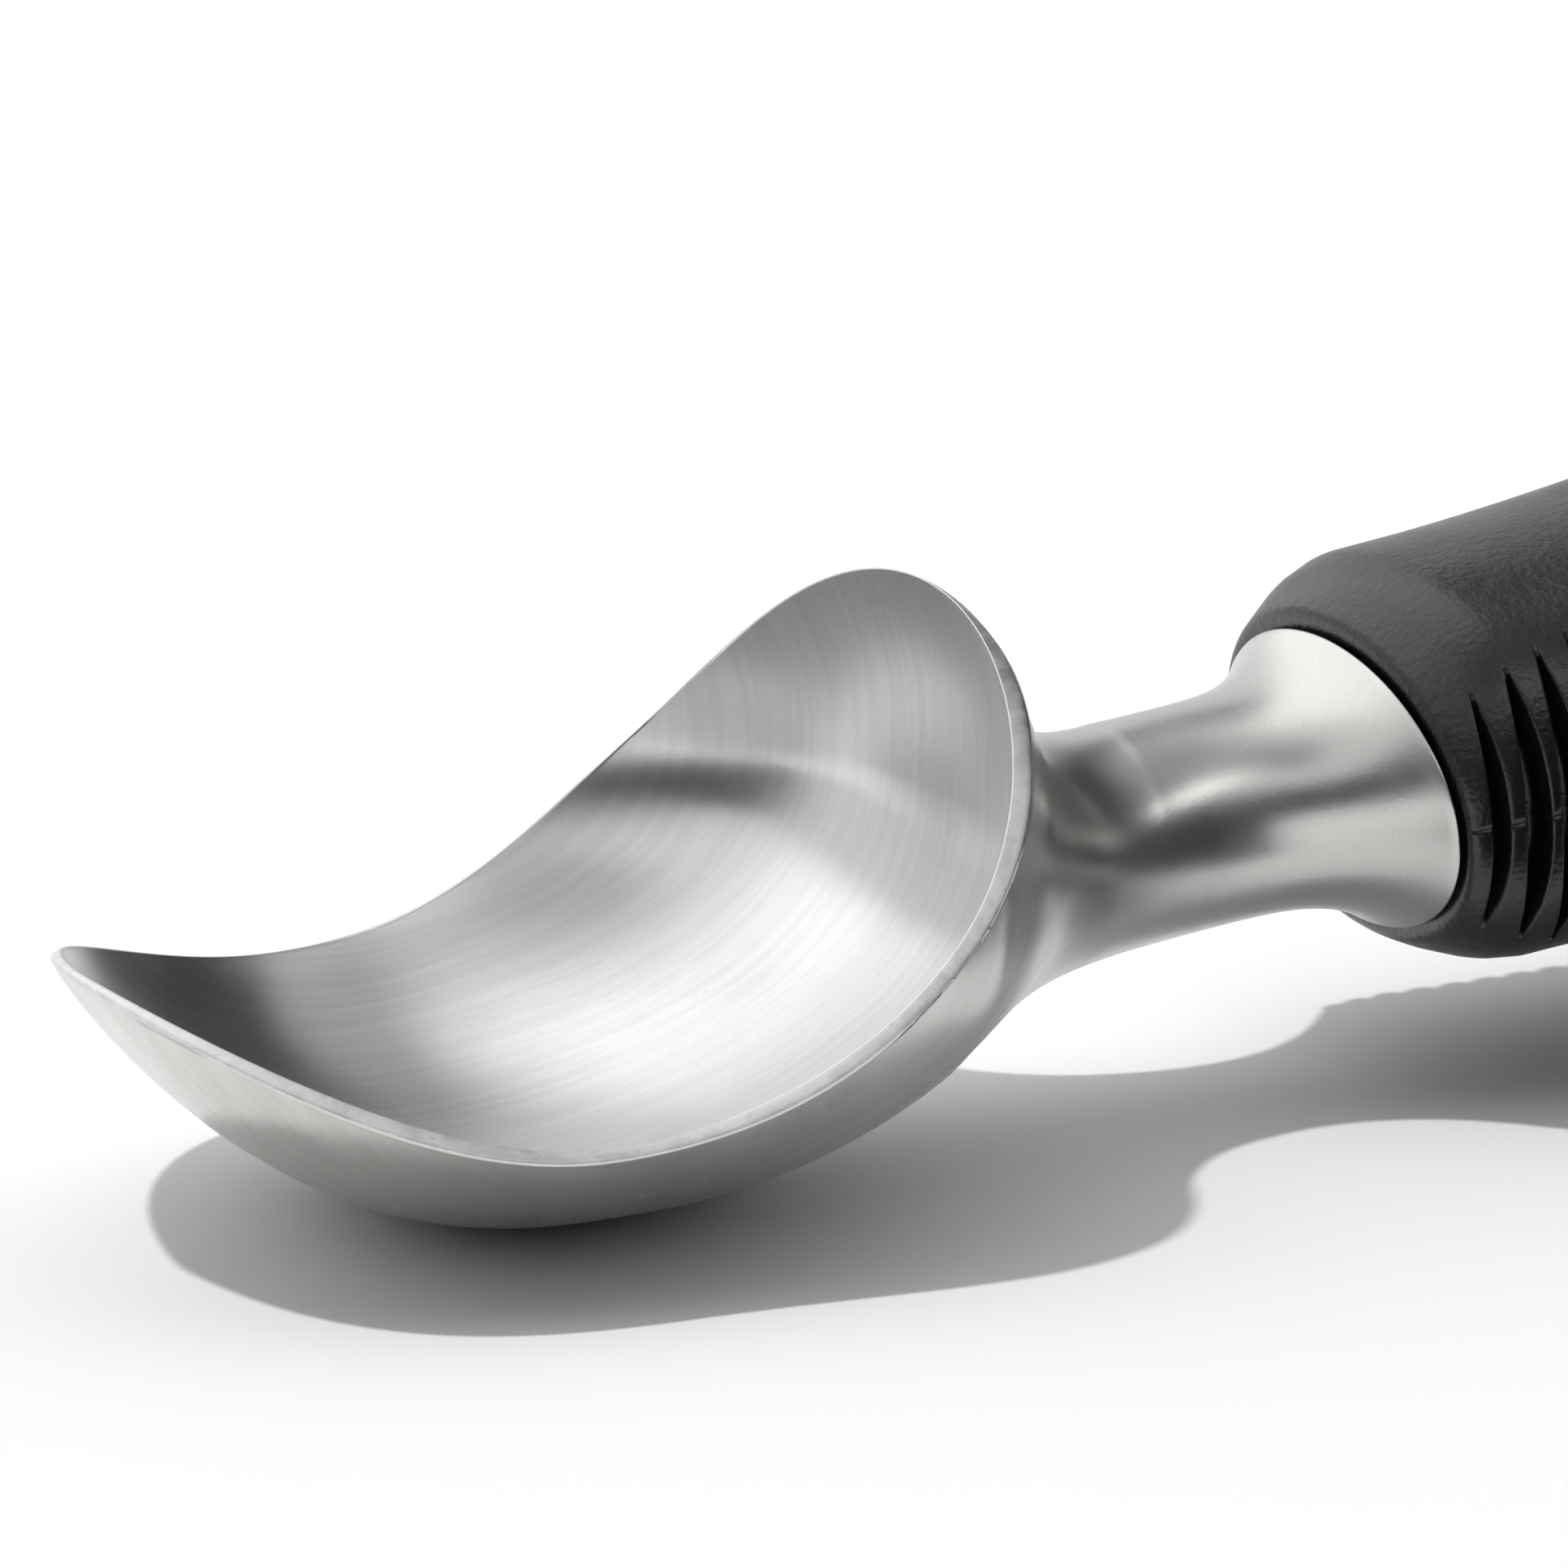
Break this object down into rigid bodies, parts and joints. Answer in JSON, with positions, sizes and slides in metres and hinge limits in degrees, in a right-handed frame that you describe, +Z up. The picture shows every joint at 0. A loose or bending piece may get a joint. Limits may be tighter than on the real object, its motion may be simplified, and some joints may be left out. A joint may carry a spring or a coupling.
{
  "type": "ice cream scoop",
  "caption": "Solid ice cream scoop: open spade-shaped metal bowl on a round neck, with a thick arched soft grip, finned at the sides and pierced for hanging.",
  "frame": {"origin": "on the table, under the middle of the scoop's overall box", "axes": "+X from the bowl's tip towards the end of the handle, +Y across the scoop, +Z up out of the bowl; the scoop lies at rest on the keel of its bowl and the heel of its grip"},
  "size_m": [0.206, 0.0516, 0.0394],
  "materials": {
    "cast_steel": "brushed inside the bowl, satin outside, fine blasted grain on the neck",
    "core_plastic": "plain moulded",
    "grip_rubber": "matte with a fine pebble grain"
  },
  "bodies": {
    "root": {"scoop_casting": "cast_steel", "handle_core": "core_plastic", "soft_grip": "grip_rubber"}
  },
  "joints": []
}
